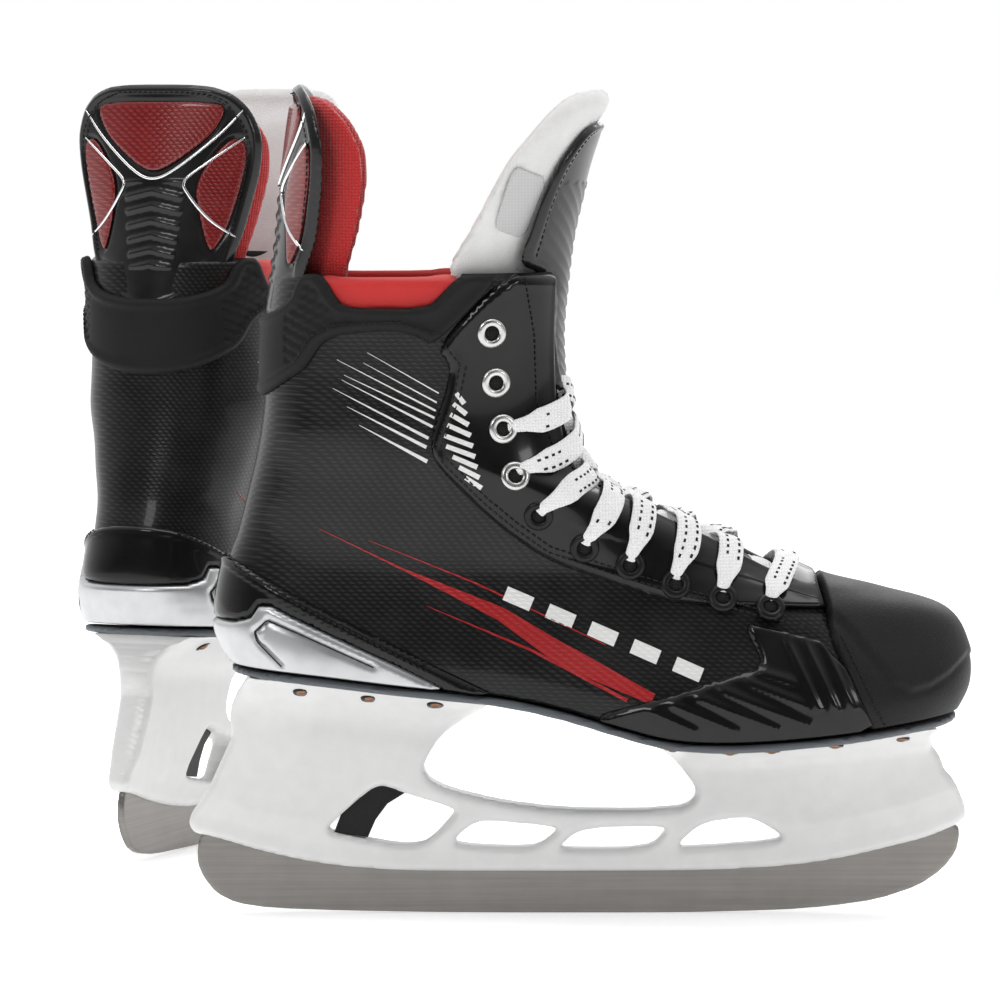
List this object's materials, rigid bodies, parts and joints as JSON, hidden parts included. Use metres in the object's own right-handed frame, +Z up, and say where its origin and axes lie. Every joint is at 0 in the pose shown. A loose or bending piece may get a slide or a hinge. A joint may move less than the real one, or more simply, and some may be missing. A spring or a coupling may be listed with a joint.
{
  "type": "pair of ice hockey skates",
  "caption": "Pair of ice hockey skates: laced boots with tendon guards and tongues, on white holders with steel runners.",
  "frame": {"origin": "middle of the flat stretch under the right skate's runner", "axes": "+X towards the right skate's toe, +Z up, -Y towards the right skate's outer side"},
  "size_m": [0.3571, 0.4537, 0.32],
  "materials": {
    "steel": null,
    "white_plastic": null,
    "black_plastic": null,
    "grey_sole": null,
    "red_foam": null,
    "shell_weave": null,
    "soft_black": null,
    "silver": null,
    "gloss_black": null,
    "red_knit": null,
    "white_felt": null,
    "white_lace": null
  },
  "bodies": {
    "right_boot": {"right_holder": "white_plastic", "right_trigger_pin": "steel", "right_trigger_spring": "steel", "right_outsole": "grey_sole", "right_insole_board": "black_plastic", "right_footbed": "red_foam", "right_quarter_outer": "shell_weave", "right_quarter_inner": "shell_weave", "right_toe_cap": "soft_black", "right_heel_cup": "silver", "right_heel_band": "gloss_black", "right_ankle_collar": "soft_black", "right_eyestay_outer": "gloss_black", "right_eyestay_inner": "gloss_black", "right_forefoot_overlay_outer": "gloss_black", "right_forefoot_overlay_inner": "gloss_black", "right_lining": "red_knit", "right_top_roll_outer": "red_foam", "right_top_roll_inner": "red_foam", "right_tongue_base": "soft_black", "right_lace": "white_lace"},
    "right_tendon_guard_body": {"right_tendon_guard": "gloss_black", "right_tendon_pad": "red_knit"},
    "right_tongue_top_body": {"right_tongue_felt": "white_felt", "right_tongue_cover": "gloss_black"},
    "right_trigger_body": {"right_trigger": "black_plastic"},
    "right_runner_body": {"right_runner": "steel"},
    "left_boot": {"left_holder": "white_plastic", "left_trigger_pin": "steel", "left_trigger_spring": "steel", "left_outsole": "grey_sole", "left_insole_board": "black_plastic", "left_footbed": "red_foam", "left_quarter_outer": "shell_weave", "left_quarter_inner": "shell_weave", "left_toe_cap": "soft_black", "left_heel_cup": "silver", "left_heel_band": "gloss_black", "left_ankle_collar": "soft_black", "left_eyestay_outer": "gloss_black", "left_eyestay_inner": "gloss_black", "left_forefoot_overlay_outer": "gloss_black", "left_forefoot_overlay_inner": "gloss_black", "left_lining": "red_knit", "left_top_roll_outer": "red_foam", "left_top_roll_inner": "red_foam", "left_tongue_base": "soft_black", "left_lace": "white_lace"},
    "left_tendon_guard_body": {"left_tendon_guard": "gloss_black", "left_tendon_pad": "red_knit"},
    "left_tongue_top_body": {"left_tongue_felt": "white_felt", "left_tongue_cover": "gloss_black"},
    "left_trigger_body": {"left_trigger": "black_plastic"},
    "left_runner_body": {"left_runner": "steel"}
  },
  "joints": [
    {"name": "right_tendon_guard_flex", "type": "hinge", "parent": "right_boot", "child": "right_tendon_guard_body", "pos_m": [-0.1172, 0, 0.2487], "axis": [0, -1, 0], "range_deg": [0, 20], "stiffness_Nm_per_rad": 2},
    {"name": "right_tongue_flex", "type": "hinge", "parent": "right_boot", "child": "right_tongue_top_body", "pos_m": [-0.0055, 0, 0.2487], "axis": [0, 1, 0], "range_deg": [0, 35], "stiffness_Nm_per_rad": 1},
    {"name": "right_runner_release", "type": "hinge", "parent": "right_boot", "child": "right_runner_body", "pos_m": [0.148, 0, 0.035], "axis": [0, -1, 0], "range_deg": [0, 4]},
    {"name": "right_trigger_pull", "type": "hinge", "parent": "right_boot", "child": "right_trigger_body", "pos_m": [-0.086, 0, 0.056], "axis": [0, 1, 0], "range_deg": [0, 14], "stiffness_Nm_per_rad": 0.3, "deforming": ["right_trigger_spring"]},
    {"name": "left_tendon_guard_flex", "type": "hinge", "parent": "left_boot", "child": "left_tendon_guard_body", "pos_m": [-0.17385, 0.14872, 0.2487], "axis": [0.9239, -0.3827, 0], "range_deg": [0, 20], "stiffness_Nm_per_rad": 2},
    {"name": "left_tongue_flex", "type": "hinge", "parent": "left_boot", "child": "left_tongue_top_body", "pos_m": [-0.1311, 0.25192, 0.2487], "axis": [-0.9239, 0.3827, 0], "range_deg": [0, 35], "stiffness_Nm_per_rad": 1},
    {"name": "left_runner_release", "type": "hinge", "parent": "left_boot", "child": "left_runner_body", "pos_m": [-0.07236, 0.39373, 0.035], "axis": [0.9239, -0.3827, 0], "range_deg": [0, 4]},
    {"name": "left_trigger_pull", "type": "hinge", "parent": "left_boot", "child": "left_trigger_body", "pos_m": [-0.16191, 0.17755, 0.056], "axis": [-0.9239, 0.3827, 0], "range_deg": [0, 14], "stiffness_Nm_per_rad": 0.3, "deforming": ["left_trigger_spring"]},
    {"name": "left_skate_apart", "type": "slide", "parent": "right_boot", "child": "left_boot", "axis": [0, 1, 0], "range_m": [0, 0.15]}
  ],
  "couplings": [
    {"joint": "right_trigger_pull", "follows": "right_runner_release", "ratio": 3.5},
    {"joint": "left_trigger_pull", "follows": "left_runner_release", "ratio": 3.5}
  ]
}
